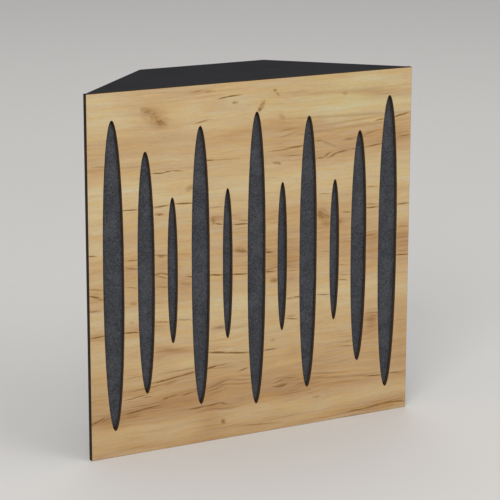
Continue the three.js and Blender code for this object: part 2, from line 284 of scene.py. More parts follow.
# Soft patches: x, z, half width, half height, tilt in degrees, change of tone
OAK_PATCHES = (
    (-232, 470, 40, 34, 0, 0.16), (-200, 372, 60, 18, -2, 0.12), (-105, 492, 50, 8, 0, -0.16),
    (-150, 433, 80, 10, -3, -0.08), (20, 432, 60, 10, 0, -0.16), (88, 432, 30, 14, 0, -0.10),
    (150, 403, 60, 17, -4, -0.22), (225, 402, 36, 22, 0, -0.24), (140, 455, 70, 14, 0, 0.14),
    (215, 467, 46, 7, -6, -0.16), (-240, 395, 30, 14, 0, -0.16), (60, 402, 50, 14, 4, -0.12),
    (-20, 280, 34, 40, 0, -0.12), (30, 255, 30, 34, 0, -0.14), (62, 250, 24, 70, 0, -0.16),
    (108, 288, 16, 24, 10, -0.30), (112, 228, 26, 26, 0, 0.08), (142, 285, 18, 30, 0, -0.16),
    (188, 252, 22, 26, 0, -0.26), (240, 255, 20, 28, 0, -0.22), (-108, 228, 16, 20, 0, -0.18),
    (-146, 245, 16, 36, 0, -0.12), (-240, 300, 22, 40, 0, 0.18), (-240, 226, 20, 22, 0, -0.08),
    (-190, 262, 18, 24, 0, -0.08), (-62, 230, 16, 30, 0, 0.12), (-240, 172, 30, 8, 0, -0.34),
    (-170, 174, 50, 9, 0, -0.24), (-124, 136.5, 38, 5.5, -14, -0.36), (-66, 128, 20, 10, -4, -0.08),
    (190, 138, 22, 22, 0, -0.40), (240, 140, 24, 34, 0, -0.26), (-60, 162, 16, 6, 0, -0.18),
    (-105, 70, 60, 14, 4, -0.14), (60, 62, 50, 12, 0, -0.04), (168, 64, 90, 14, -4, 0.14),
    (-224, 50, 50, 10, 4, -0.18), (-70, 24, 26, 22, 0, -0.22), (205, 10, 60, 10, 0, -0.20),
    (-20, 200, 30, 26, 0, 0.12), (140, 175, 40, 26, 0, 0.06), (-60, 94, 30, 16, 6, -0.04),
    (105, 376, 50, 10, 0, -0.14), (60, 112, 16, 12, 0, -0.14), (-150, 462, 32, 18, -25, -0.20),
    (190, 470, 30, 6, -8, -0.17), (-160, 464, 4, 3, 0, 0.20), (-190, 142, 16, 4, 0, -0.14),
    (-110, 269.5, 14, 2.5, -4, -0.20), (58, 217, 8, 5, 20, -0.15), (134, 290, 6, 8, 0, -0.25),
    (105, 95, 26, 7, 0, -0.12), (150, 472, 80, 4, -3, -0.10), (170, 488, 80, 8, 0, 0.14),
    (238, 450, 30, 10, 0, 0.10), (185, 430, 26, 8, 0, 0.16), (236, 432, 30, 10, 0, 0.12),
    (62, 410, 20, 8, 0, 0.10), (-61, 471, 20, 8, 0, -0.15), (144, 390, 16, 6, 0, -0.14),
    (144, 330, 20, 10, 0, -0.15), (28, 310, 16, 10, 0, -0.13), (-61, 312, 14, 10, 0, -0.12),
    (240, 298, 20, 22, 0, 0.17), (-240, 250, 18, 9, 0, 0.17), (-240, 271, 18, 8, 0, -0.13),
    (-105, 251, 14, 8, 0, 0.14), (144, 250, 14, 12, 0, -0.16), (-24, 229, 16, 8, 0, 0.14),
    (61, 230, 12, 8, 0, 0.14), (-146, 131, 18, 7, 0, -0.22), (-40, 130, 36, 7, 0, 0.17),
    (-105, 111, 20, 8, 0, 0.16), (-190, 351, 22, 8, 0, -0.13), (144, 430, 24, 8, 0, 0.10),
)

# Knots: x, z, half width, half height, tilt in degrees, strength
OAK_KNOTS = (
    (-162, 471, 13, 6, -18, 0.48), (-152, 463, 15, 9, -42, 0.42), (-144, 454, 9, 6, -14, 0.66),
    (-138, 452, 8, 4, -10, 0.40), (-152, 462, 26, 15, -34, 0.24), (-165, 472.5, 9, 3.5, -16, 0.42),
    (-146, 330, 8, 2.5, -6, 0.66), (-100, 361.5, 9, 5, 20, 0.42), (-72, 490, 8, 3, 0, 0.24),
    (-31, 472, 6, 2.5, -4, 0.56), (30, 484, 3.5, 2.5, 0, 0.58), (34, 479, 6, 2, -48, 0.40),
    (10, 465, 10, 4.5, 58, 0.50), (6, 459.5, 5, 3.5, 60, 0.74), (41, 446, 8, 4.5, -30, 0.28),
    (34, 382.8, 9, 3, -12, 0.52), (141, 471, 5, 3, 0, 0.32), (-65, 313, 3.5, 7, 10, 0.44),
    (-144, 272.3, 6, 2.5, -6, 0.66), (-186, 212, 7, 3.5, 0, 0.32), (-188, 186, 5, 2.5, 0, 0.26),
    (104, 303, 11, 7, -34, 0.66), (112, 300, 12, 5, -16, 0.50), (113, 290, 12, 6, -24, 0.30),
    (107, 303, 17, 11, -20, 0.30), (31, 218, 10, 5, 0, 0.50), (-22, 266, 12, 5, -14, 0.42),
    (-50, 25, 5, 5, 0, 0.66), (28, 132, 6, 2.5, 0, 0.30), (99, 38.3, 8, 2, -2, 0.44),
    (188, 140.5, 13, 3, -3, 0.40), (190, 135, 9, 8, 0, 0.20), (-20, 53, 5, 4, 0, 0.14),
    (-106, 229.5, 12, 3, -12, 0.30), (42, 64, 9, 3, 6, 0.66), (-188, 54, 14, 4, 0, 0.26),
)
FRAY_WAVES = (0.22, 0, 0.5)

# Cracks and dark grain lines: from x, z to x, z, half thickness, strength
OAK_CRACKS = (
    (-96, 491, -80, 492, 0.6, 0.45), (-92, 448, -72, 452, 0.6, 0.50), (-158, 386.5, -136, 386, 0.9, 0.80),
    (-140, 386, -126, 388, 0.8, 0.75), (-130, 388, -110, 386, 0.6, 0.60), (-238, 403, -224, 402, 0.5, 0.24),
    (-204, 341.3, -176, 340, 0.8, 0.74), (-156, 340.3, -130, 341.4, 1.0, 0.66),
    (-126, 342.4, -92, 340.4, 1.0, 0.78), (-58, 479, -40, 480.8, 0.8, 0.90),
    (-48, 480.2, -22, 482, 0.8, 0.85), (-20, 14, 30, 10, 0.9, 0.24), (-78, 397, -62, 396.5, 0.9, 0.70),
    (-66, 396.6, -34, 395, 0.5, 0.20), (22, 400, 56, 401, 0.6, 0.55), (46, 401.5, 80, 404, 1.0, 0.66),
    (36, 427, 62, 428.5, 0.5, 0.35), (38, 418, 66, 424, 0.5, 0.35), (46, 392, 72, 390.5, 0.7, 0.30),
    (110, 441, 200, 438, 0.6, 0.07), (140, 431, 190, 434, 0.6, 0.12), (190, 429, 206, 430, 0.8, 0.60),
    (216, 430.5, 250, 436.5, 1.0, 0.72), (140, 406, 155, 406.5, 0.7, 0.42), (172, 411, 192, 414, 0.7, 0.45),
    (94, 408, 106, 408, 0.8, 0.45), (104, 408, 120, 401, 0.8, 0.14), (120, 422, 200, 425, 0.6, 0.07),
    (52, 228.5, 66, 228, 0.5, 0.35), (94, 383, 110, 384.5, 0.9, 0.50), (106, 384, 120, 391, 0.9, 0.50),
    (114, 382.5, 132, 389.5, 0.9, 0.62), (126, 388.5, 148, 391, 0.9, 0.62), (150, 391.5, 180, 392, 0.8, 0.55),
    (172, 392, 206, 395.5, 0.9, 0.66), (230, 403, 252, 404, 0.8, 0.52), (178, 336, 194, 335, 0.6, 0.52),
    (100, 333, 118, 332, 0.5, 0.42), (-252, 284.5, -238, 283, 0.8, 0.60), (-196, 272, -176, 271, 0.7, 0.48),
    (-198, 262.5, -178, 259, 0.8, 0.45), (-156, 275, -130, 272, 0.8, 0.42),
    (-156, 247, -142, 249.5, 0.8, 0.52), (-146, 249.5, -130, 244.5, 0.9, 0.55),
    (-151, 246, -134, 240.5, 0.7, 0.40), (-106, 240, -92, 237, 0.8, 0.70), (-76, 238, -46, 235, 0.9, 0.90),
    (-44, 235, -8, 232, 0.9, 0.85), (-252, 230.5, -234, 226, 1.1, 0.80), (-252, 240, -230, 236, 0.7, 0.32),
    (-240, 224.5, -228, 223, 0.7, 0.40), (-252, 209, -234, 207.5, 0.8, 0.52),
    (-196, 235.5, -180, 233, 0.6, 0.35), (-148, 230, -132, 228.5, 0.6, 0.32),
    (-154, 182, -138, 180, 0.7, 0.42), (-122, 181, -98, 178, 0.7, 0.28), (-252, 171.5, -226, 173, 0.7, 0.74),
    (-144, 181, -134, 179.3, 0.7, 0.50), (52, 163.5, 64, 162, 0.5, 0.30), (228, 236, 250, 235, 0.6, 0.32),
    (134, 214, 153, 211, 0.5, 0.32), (102, 250, 119, 249.3, 0.5, 0.28), (229, 272, 252, 271.5, 0.6, 0.30),
    (-202, 173, -176, 171, 0.9, 0.98), (-64, 308.5, -48, 306, 0.9, 0.62), (-36, 304, -8, 303, 0.9, 0.72),
    (-26, 309, -8, 307, 0.6, 0.42), (-72, 331, -48, 331, 0.5, 0.28), (-34, 268, -10, 263, 0.8, 0.42),
    (12, 260, 29, 258, 1.1, 0.80), (10, 264.5, 21, 263, 0.8, 0.50), (10, 232, 31, 231, 1.1, 0.56),
    (50, 234, 68, 232, 0.5, 0.38), (48, 189, 62, 188.5, 0.7, 0.50), (58, 190, 76, 190, 0.7, 0.60),
    (-63, 161.5, -45, 161, 1.6, 0.30), (138, 303, 154, 302, 0.8, 0.48), (178, 310.5, 196, 309, 0.7, 0.40),
    (174, 305, 200, 305, 0.9, 0.72), (226, 305, 250, 305, 0.9, 0.62), (226, 231, 252, 229.5, 0.8, 0.74),
    (132, 228, 152, 225, 0.5, 0.30), (132, 206.5, 148, 204, 0.8, 0.48), (98, 188.5, 120, 186.5, 0.8, 0.55),
    (60, 189.5, 74, 189, 0.7, 0.42), (-160, 96.5, -130, 98.5, 0.9, 0.66), (-144, 98, -110, 101, 0.9, 0.76),
    (-122, 100, -88, 104.5, 1.0, 0.74), (-78, 104.5, -58, 107.5, 1.1, 1.0), (-64, 107, -44, 108, 0.6, 0.35),
    (-202, 78, -164, 82, 0.7, 0.55), (-174, 78, -158, 78.5, 0.6, 0.45), (-198, 89, -156, 92, 0.6, 0.38),
    (-144, 71, -132, 73.5, 0.8, 0.62), (-136, 73, -122, 74, 0.7, 0.52), (-113, 72, -99, 74.8, 0.7, 0.64),
    (-202, 58.5, -168, 61.5, 1.0, 0.72), (-182, 60.5, -144, 64.3, 0.9, 0.66),
    (-252, 51.5, -236, 55, 0.9, 0.66), (-242, 54, -228, 59, 0.9, 0.60), (-236, 53, -218, 58, 0.8, 0.52),
    (-106, 50.5, -74, 51.5, 0.9, 0.68), (-84, 51, -50, 53, 0.9, 0.72), (-56, 53, -44, 50, 0.8, 0.50),
    (-200, 108, -172, 109, 0.5, 0.30), (-142, 108, -94, 109, 0.5, 0.30), (-76, 128.5, -40, 123, 1.3, 0.74),
    (-54, 124.5, -4, 118.5, 1.2, 0.70), (12, 118.7, 36, 119.3, 0.8, 0.68), (-26, 94, -11, 97.5, 0.9, 0.56),
    (-74, 76, -42, 85, 0.7, 0.42), (-75, 71, -47, 78, 0.7, 0.32), (-73, 67, -50, 71, 0.7, 0.22),
    (28, 64, 42, 61.5, 0.8, 0.72), (38, 61.5, 53, 65, 0.9, 0.80), (30, 68, 48, 73, 0.7, 0.42),
    (44, 73, 66, 72, 0.7, 0.42), (90, 74, 132, 69.5, 0.8, 0.26), (90, 67, 150, 61, 0.8, 0.16),
    (160, 61, 188, 57, 0.8, 0.26), (180, 57, 210, 54.6, 0.9, 0.74), (218, 56, 242, 54.5, 0.8, 0.55),
    (148, 8, 186, 8, 0.9, 0.60), (176, 8, 214, 11.5, 0.9, 0.66), (202, 11.5, 238, 11.5, 0.9, 0.70),
    (228, 11.5, 252, 8.5, 0.9, 0.60), (50, 160.5, 68, 157, 0.8, 0.45), (142, 107, 158, 106, 0.8, 0.34),
    (144, 112.5, 156, 113, 0.5, 0.25),
)

# A crack tapers, so it is drawn thicker and stronger than its row says. Its value is 0 at its rim and falls
# further out, where a fainter and warmer tone starts at CRACK_RIM. Far from every crack it is NO_CRACK.
CRACK_SPREAD = 1.25
CRACK_DEPTH = 0.94
CRACK_RIM = -1.3
CRACK_RIM_DEPTH = 0.30
NO_CRACK = -4.0

# Fine fibres and short dark pores
FIBRE_WAVES = (0.09, 0, 3.2)
FIBRE_DEPTH = 0.24
PORE_WAVES = (0.22, 0, 4.5)
PORE_DEPTH = 0.30
OAK_RELIEF = 0.12 * MM
OAK_SPECULAR = 0.1


def ellipse(paint, spot, x, z, half_length, half_height, tilt):
    """The squared distance from x, z, which is 1 at the rim of a tilted ellipse, and its parts along
    and across. The spot is (x, 1, z), so that one dot product turns, moves and scales it."""
    turn = math.radians(tilt)
    parts = []
    for right, up, half in ((math.cos(turn), math.sin(turn), half_length),
                            (-math.sin(turn), math.cos(turn), half_height)):
        row = (right / half, -(right * x + up * z) / half, up / half)
        inputs = {0: spot, 1: row}
        parts.append(paint.node("ShaderNodeVectorMath", inputs, output="Value", operation="DOT_PRODUCT"))
    along, across = parts
    squares = paint.math("MULTIPLY_ADD", along, along, paint.math("MULTIPLY", across, across))
    return squares, along, across


def stroke(paint, spot, x, z, half_length, half_height, tilt, strength):
    """A tapered mark: strongest at x, z, gone at the rim of its ellipse, and below 0 outside it."""
    squares, _, _ = ellipse(paint, spot, x, z, half_length, half_height, tilt)
    return paint.math("MULTIPLY_ADD", squares, -strength, strength)


def soft_patch(paint, spot, x, z, half_length, half_height, tilt, change):
    """A change of tone that fades to a third at the rim of its ellipse and on to nothing."""
    squares, _, _ = ellipse(paint, spot, x, z, half_length, half_height, tilt)
    return paint.math("MULTIPLY", paint.math("POWER", RIM_SHARE, squares), change)


def wandering(paint, flat):
    """How far the print drifts at each place, and the place for lines that waver finely."""
    half = (0.5, 0.5, 0.5)
    slow = paint.grain(flat, DRIFT_WAVES, detail=3, output=1)
    quick = paint.grain(flat, WAVER_WAVES, detail=3, output=1)
    drift = paint.vector("MULTIPLY", paint.vector("SUBTRACT", slow, half), DRIFT)
    waver = paint.vector("MULTIPLY", paint.vector("SUBTRACT", quick, half), WAVER)
    return drift, paint.vector("ADD", flat, waver)


def pushed_up(paint, flat):
    """How far the grain is pushed up, where it leans and round the knots."""
    push = 0.0
    for *area, rise in OAK_LEANS:
        squares, along, _ = ellipse(paint, flat, *area)
        near = paint.math("POWER", RIM_SHARE, squares)
        push = paint.math("MULTIPLY_ADD", paint.math("MULTIPLY", near, along), -rise, push)
    for *area, aside in OAK_SWIRLS:
        squares, _, across = ellipse(paint, flat, *area)
        near = paint.math("POWER", RIM_SHARE, squares)
        push = paint.math("MULTIPLY_ADD", paint.math("MULTIPLY", near, across), -aside, push)
    return paint.node("ShaderNodeCombineXYZ", {"Z": push})


def banded_tone(paint, flowing):
    """The print's tone: soft patches on level bands, and streaks along the grain. The changes are added
    up before the bands join them, which keeps the number of values that the renderer holds low."""
    height = paint.node("ShaderNodeSeparateXYZ", {0: flowing}, output="Z")
    share = paint.math("DIVIDE", height, PANEL_HEIGHT / MM)
    stops = [(z * MM / PANEL_HEIGHT, (tone, tone, tone, 1)) for z, tone in OAK_BANDS]
    change = 0.0
    for patch in OAK_PATCHES:
        change = paint.math("ADD", change, soft_patch(paint, flowing, *patch))
    tone = paint.math("ADD", change, paint.ramp(share, stops, "B_SPLINE"))
    for waves, depth in OAK_STREAKS:
        streak = paint.grain(flowing, waves, detail=3, roughness=0.55)
        tone = paint.math("MULTIPLY_ADD", streak, depth, tone)
    return paint.math("SUBTRACT", tone, sum(depth for _, depth in OAK_STREAKS) / 2)


def lined_tone(paint, flowing, tone):
    """The tone with bundles of thin dark lines, mostly in the darker bands."""
    bundles = paint.grain(flowing, BUNDLE_WAVES, detail=2)
    lines = paint.grain(flowing, LINE_WAVES, detail=3, roughness=0.6)
    line = paint.math("MULTIPLY", paint.between(lines, 0.52, 0.66), paint.between(bundles, 0.36, 0.62))
    depth = paint.between(tone, 0.80, 0.30, 0.10, 0.30)
    return paint.math("SUBTRACT", tone, paint.math("MULTIPLY", line, depth))


def tinted(paint, flowing, tone):
    """The tone's colour, with its drifting tint."""
    colour = paint.ramp(tone, OAK_TONES)
    hue = paint.grain(flowing, OAK_HUE_WAVES, detail=3, roughness=0.6)
    colour = paint.mix(1.0, colour, paint.mix(paint.between(hue, 0.3, 0.7), *OAK_HUES), "MULTIPLY")
    greener = soft_patch(paint, flowing, *OAK_GREENER_AREA, 1.0)
    return paint.mix(greener, colour, OAK_GREENER, "MULTIPLY")


def with_knots(paint, drawn, colour):
    """Knots with frayed edges."""
    knots = 0.0
    for knot in OAK_KNOTS:
        knots = paint.math("MAXIMUM", knots, stroke(paint, drawn, *knot))
    fray = paint.grain(drawn, FRAY_WAVES, detail=4, roughness=0.7)
    knots = paint.math("MULTIPLY", knots, paint.between(fray, 0.3, 0.65, 0.4, 1.9), clamp=True)
    return paint.mix(knots, colour, KNOT)


def with_cracks(paint, drawn, colour):
    """Cracks, each inside a warmer rim."""
    cracks = NO_CRACK
    for x0, z0, x1, z1, half_height, strength in OAK_CRACKS:
        middle = ((x0 + x1) / 2, (z0 + z1) / 2)
        half_length = math.hypot(x1 - x0, z1 - z0) / 2
        tilt = math.degrees(math.atan2(z1 - z0, x1 - x0))
        mark = stroke(paint, drawn, *middle, half_length, CRACK_SPREAD * half_height, tilt,
                      CRACK_SPREAD * strength)
        cracks = paint.math("MAXIMUM", cracks, mark)
    colour = paint.mix(paint.between(cracks, CRACK_RIM, 0.3, 0.0, CRACK_RIM_DEPTH), colour, KNOT)
    return paint.mix(paint.between(cracks, 0.0, 0.8, 0.0, CRACK_DEPTH, smooth=False), colour, CRACK)


def scorched_and_painted_light(paint, colour):
    """The colour with charred walls, in lines through the board's thickness, and where the walls are. The
    walls in the slots get paler tones, painted light against their shade, and the panel's outer sides get
    darker ones, painted shade.
    """
    normal = paint.node("ShaderNodeNewGeometry", {}, output="True Normal")
    facing = paint.math("ABSOLUTE", paint.node("ShaderNodeSeparateXYZ", {0: normal}, output="Y"))
    wall = paint.between(facing, 0.94, 0.80)
    burn = paint.noise(paint.place(SCORCH_WAVES), detail=3, roughness=0.6)
    paler = paint.between(burn, 0.35, 0.75)
    # Painted light in the slots: paler tones there make up for their shade
    in_slot_painted_light = paint.mix(paler, SCORCHED_SLOT_PAINTED_LIGHT, SCORCHED_SLOT_PAINTED_LIGHT_PALER)
    # Painted shade on the outer sides: darker tones
    on_rim_painted_shade = paint.mix(paler, SCORCHED_RIM_PAINTED_SHADE, SCORCHED_RIM_PAINTED_SHADE_PALER)
    burnt_and_painted_light = paint.mix(paint.outside(PANEL_LOW, PANEL_HIGH, PANEL_RIM), in_slot_painted_light, on_rim_painted_shade)
    return paint.mix(wall, colour, burnt_and_painted_light), wall


def oak_laminate():
    paint = Paint("oak_laminate")
    # The place on the print as (x, 1, z)
    flat = paint.vector("ADD", paint.place((1, 0, 1)), (0, 1, 0))
    drift, drawn = wandering(paint, flat)
    push = pushed_up(paint, flat)
    flowing = paint.vector("ADD", paint.vector("ADD", flat, drift), push)
    tone = lined_tone(paint, flowing, banded_tone(paint, flowing))
    colour = tinted(paint, flowing, tone)
    colour = with_knots(paint, drawn, colour)
    colour = with_cracks(paint, drawn, colour)

    fibre = paint.grain(drawn, FIBRE_WAVES, detail=2)
    colour = paint.mix(paint.between(fibre, 0.35, 0.72, 0.0, FIBRE_DEPTH), colour, OAK_TONES[0][1])
    pores = paint.grain(drawn, PORE_WAVES, detail=1)
    pore = paint.between(pores, 0.62, 0.72)
    colour = paint.mix(paint.math("MULTIPLY", pore, PORE_DEPTH), colour, CRACK)
    # Charred walls, with paler tones in the slots as painted light and darker ones on the outer sides as
    # painted shade
    colour, wall = scorched_and_painted_light(paint, colour)

    relief = paint.math("MULTIPLY_ADD", pore, -1.0, fibre)
    plain = paint.between(fibre, 0.3, 0.7, 0.46, 0.56)
    roughness = paint.math("MULTIPLY_ADD", wall, SCORCH_ROUGHNESS, plain)
    return paint.finish(colour, roughness, paint.bump(relief, 0.35, OAK_RELIEF), specular=OAK_SPECULAR)


# Graphite laminate: a clouded ground with paler grit and scuffs

GRAPHITE = (srgb(33, 33, 35), srgb(38, 38, 40))
GRAPHITE_GRIT = srgb(48, 48, 51)
CLOUD_WAVES = 0.012
GRIT_WAVES = 1.6
SCUFF_WAVES = (0.02, 0.3, 0.02)
GRAPHITE_RELIEF = 0.15 * MM
GRAPHITE_SPECULAR = 0.015


def graphite_laminate():
    paint = Paint("graphite_laminate")
    place = paint.place()
    cloud = paint.noise(place, CLOUD_WAVES, detail=3)
    grit = paint.noise(place, GRIT_WAVES, detail=3, roughness=0.6)
    colour = paint.mix(paint.between(cloud, 0.3, 0.7), *GRAPHITE)
    colour = paint.mix(paint.between(grit, 0.35, 0.70, 0.0, 0.7), colour, GRAPHITE_GRIT)
    scuff = paint.noise(paint.place(SCUFF_WAVES), detail=4, roughness=0.7)
    roughness = paint.math("ADD", paint.between(scuff, 0.3, 0.75, 0.62, 0.76),
                           paint.between(grit, 0.3, 0.7, -0.03, 0.03))
    relief = paint.bump(grit, 0.25, GRAPHITE_RELIEF)
    return paint.finish(colour, roughness, relief, specular=GRAPHITE_SPECULAR)


# Graphite foam: clumps with dark cells, whose middles hold painted shade, some areas of pale struts, and
# fluff whose pale flecks are painted highlights

FOAM_CLUMPS = (srgb(38, 39, 42), srgb(76, 77, 82))
# Painted shade in the middles of the foam's cells
FOAM_CELL_PAINTED_SHADE = srgb(34, 35, 39)
FOAM_STRUT = srgb(96, 98, 104)
# Painted highlights: pale flecks on the fluff
FOAM_FUZZ_PAINTED_HIGHLIGHT = srgb(118, 121, 128)
CELL_WAVES = 0.75
CLUMP_WAVES = 0.5
FUZZ_WAVES = 1.9
STRUT_WAVES = 0.42
STRUT_BEND = 6
STRUT_BEND_WAVES = 0.30
STRUT_AREA_WAVES = 0.045
STRUT_DEPTH = 0.4
FOAM_RELIEF = 0.6 * MM
FOAM_ROUGHNESS = 0.95
FOAM_SPECULAR = 0.25


def graphite_foam():
    paint = Paint("graphite_foam")
    place = paint.place()
    cells = paint.cells(place, CELL_WAVES, "F1")
    clumps = paint.noise(place, CLUMP_WAVES, detail=4, roughness=0.7)
    fuzz_and_highlight = paint.noise(place, FUZZ_WAVES, detail=2)
    colour = paint.mix(paint.between(clumps, 0.3, 0.72), *FOAM_CLUMPS)
    # Painted shade: the middles of the cells are darkened as hollows
    colour = paint.mix(paint.between(cells, 0.15, 0.65, 0.50, 0.0), colour, FOAM_CELL_PAINTED_SHADE)
    bent = paint.bent(place, paint.noise(place, STRUT_BEND_WAVES, detail=2, output=1), STRUT_BEND)
    struts = paint.cells(bent, STRUT_WAVES, "DISTANCE_TO_EDGE")
    areas = paint.noise(place, STRUT_AREA_WAVES, detail=2)
    strut = paint.math("MULTIPLY", paint.between(struts, 0.02, 0.12, 1.0, 0.0),
                       paint.between(areas, 0.48, 0.62))
    colour = paint.mix(paint.math("MULTIPLY", strut, STRUT_DEPTH), colour, FOAM_STRUT)
    # Painted highlights: pale flecks on the fluff
    colour = paint.mix(paint.between(fuzz_and_highlight, 0.60, 0.78, 0.0, 0.6), colour, FOAM_FUZZ_PAINTED_HIGHLIGHT)
    height = paint.math("ADD", paint.math("MULTIPLY", cells, 0.8), fuzz_and_highlight)
    relief = paint.bump(height, 0.6, FOAM_RELIEF)
    return paint.finish(colour, FOAM_ROUGHNESS, relief, specular=FOAM_SPECULAR)


# Mineral wool: combed fibres with browner clumps

WOOL = (srgb(140, 117, 62), srgb(199, 178, 118))
WOOL_BROWN = srgb(160, 132, 74)
WOOL_FIBRE_WAVES = (0.35, 2.4, 0.9)
WOOL_CLUMP_WAVES = 0.05
WOOL_RELIEF = 1 * MM
WOOL_ROUGHNESS = 0.95
WOOL_SPECULAR = 0.2


def mineral_wool():
    paint = Paint("mineral_wool")
    fibres = paint.noise(paint.place(WOOL_FIBRE_WAVES), detail=4, roughness=0.7, distortion=1.5)
    clumps = paint.noise(paint.place(), WOOL_CLUMP_WAVES, detail=3)
    colour = paint.mix(paint.between(fibres, 0.3, 0.7), *WOOL)
    colour = paint.mix(paint.between(clumps, 0.4, 0.8, 0.0, 0.4), colour, WOOL_BROWN)
    relief = paint.bump(fibres, 0.8, WOOL_RELIEF)
    return paint.finish(colour, WOOL_ROUGHNESS, relief, specular=WOOL_SPECULAR)


# Planed wood: pale and dark wood and the waves of the rings between them, which bend

PINE = (srgb(226, 196, 146), srgb(196, 152, 96), 0.12)
BEECH = (srgb(216, 176, 128), srgb(190, 142, 96), 0.4)
RING_BEND = 14
RING_BEND_WAVES = 0.02
WOOD_FIBRE_WAVES = (0.08, 2.2, 2.2)
WOOD_RELIEF = 0.2 * MM


def planed_wood(name, pale, dark, ring_waves):
    paint = Paint(name)
    place = paint.place()
    bent = paint.bent(place, paint.noise(place, RING_BEND_WAVES, detail=2, output=1), RING_BEND)
    inputs = {"Vector": bent, "Scale": ring_waves, "Distortion": 2.5, "Detail": 3, "Detail Scale": 0.6}
    rings = paint.node("ShaderNodeTexWave", inputs, output=1, bands_direction="Y")
    fibre = paint.noise(paint.place(WOOD_FIBRE_WAVES), detail=3)
    colour = paint.mix(paint.between(rings, 0.35, 0.95), pale, dark)
    colour = paint.mix(paint.between(fibre, 0.35, 0.8, 0.0, 0.35), colour, dark)
    roughness = paint.between(fibre, 0.3, 0.7, 0.6, 0.75)
    return paint.finish(colour, roughness, paint.bump(fibre, 0.3, WOOD_RELIEF))


# Black steel, worn in places

STEEL = (srgb(28, 28, 30), srgb(52, 51, 50))
WEAR_WAVES = 0.9
STEEL_RELIEF = 0.05 * MM
STEEL_METAL = 0.85


def black_steel():
    paint = Paint("black_steel")
    wear = paint.noise(paint.place(), WEAR_WAVES, detail=4, roughness=0.7)
    colour = paint.mix(paint.between(wear, 0.5, 0.75), *STEEL)
    roughness = paint.between(wear, 0.3, 0.7, 0.34, 0.52)
    return paint.finish(colour, roughness, paint.bump(wear, 0.2, STEEL_RELIEF), metallic=STEEL_METAL)


# CAD nodes: welded, given fine edges and their materials

WELD_REACH = 0.005 * MM
FLAT_ANGLE = math.radians(0.5)
SHARP_ANGLE = math.radians(35)
EDGE_STEPS = 2
BOARD_EDGE = 0.4 * MM
BATTEN_EDGE = 0.5 * MM
SCREW_EDGE = 0.12 * MM


def dress(name, material, edge):
    node = NODES[name]
    mesh = node.data
    mesh.materials.clear()
    mesh.materials.append(material)
    normals = mesh.attributes.get("custom_normal")
    if normals is not None:
        mesh.attributes.remove(normals)
    weld = node.modifiers.new("weld", "WELD")
    weld.merge_threshold = WELD_REACH
    flat = node.modifiers.new("flat", "DECIMATE")
    flat.decimate_type = "DISSOLVE"
    flat.angle_limit = FLAT_ANGLE
    if edge:
        bevel = node.modifiers.new("edge", "BEVEL")
        bevel.width = edge
        bevel.segments = EDGE_STEPS
        bevel.limit_method = "ANGLE"
        bevel.angle_limit = SHARP_ANGLE


def dress_all():
    """Each CAD node gets its slot's material and edge. The panel and dowels keep the solid's own edges."""
    looks = {
        "oak_laminate": (oak_laminate(), 0),
        "graphite_laminate": (graphite_laminate(), BOARD_EDGE),
        "pine": (planed_wood("pine", *PINE), BATTEN_EDGE),
        "beech": (planed_wood("beech", *BEECH), 0),
        "black_steel": (black_steel(), SCREW_EDGE),
    }
    for row in frame["record"]["subparts"]:
        if row["material_slot"] in looks:
            dress(row["node"], *looks[row["material_slot"]])


# Soft pieces: closed bodies in the space of their CAD solids, with pitted fronts and softly turned edges

# How fine the faces are, how deep their pits, and how far the sheet's edges are turned
FOAM_PITCH = 1.2 * MM
FOAM_PIT = 0.5 * MM
FOAM_CORNER = 0.8 * MM
FOAM_SEED = 11
WOOL_PITCH = 6 * MM
WOOL_PIT = 2 * MM
WOOL_CORNER = 2.5 * MM
WOOL_SEED = 20

# The sheet lies hidden behind the panel and the foam in its slots, so its faces are this much coarser
SHEET_COARSER = 4

# Pits: the cells of their fine and broad unevenness, in pitches, and the shares of their depth that are
# even, fine and broad
FINE_CELL = 1.7
BROAD_CELL = 40
EVEN_SHARE = 0.5
FINE_SHARE = 0.35
BROAD_SHARE = 0.15

# The foam in a slot stands nearer to the slot's walls than its solid, with a turned shoulder
SLOT_REACH = 0.15 * MM
SLOT_END_INSET = 0.6 * MM
SHOULDER = 0.4 * MM
SHOULDER_SHARE = 0.3
FOAM_ROOT = 1 * MM

# Its rows draw together towards the slot's ends, so they are more than the pitch alone would ask
ROWS_DRAWN = 0.45
ROWS_MORE = 1.26

# To tell the solid's own faces and slots apart
FACE_MARGIN = 0.1 * MM
SLOT_SPACING = 8 * MM


def eased(share):
    return share * share * (3 - 2 * share)


def smooth_noise(generator, low, high, cell):
    """Random heights from -1 to 1 over the plane between two corners, read smoothly at any x and z."""
    columns = int((high.x - low.x) / cell) + 3
    rows = int((high.z - low.z) / cell) + 3
    coarse = generator.uniform(-1, 1, (rows, columns))

    def height_at(x, z):
        column, row = (x - low.x) / cell, (z - low.z) / cell
        left, under = column.astype(int), row.astype(int)
        right_share, upper_share = eased(column - left), eased(row - under)
        lower = coarse[under, left] * (1 - right_share) + coarse[under, left + 1] * right_share
        upper = coarse[under + 1, left] * (1 - right_share) + coarse[under + 1, left + 1] * right_share
        return lower * (1 - upper_share) + upper * upper_share
    return height_at


def pitted(seed, low, high, pitch, pit):
    """How deep the face of a soft piece lies behind its solid's, at any x and z."""
    generator = np.random.default_rng(seed)
    fine = smooth_noise(generator, low, high, FINE_CELL * pitch)
    broad = smooth_noise(generator, low, high, BROAD_CELL * pitch)
    return lambda x, z: pit * (EVEN_SHARE + FINE_SHARE * fine(x, z) + BROAD_SHARE * broad(x, z))


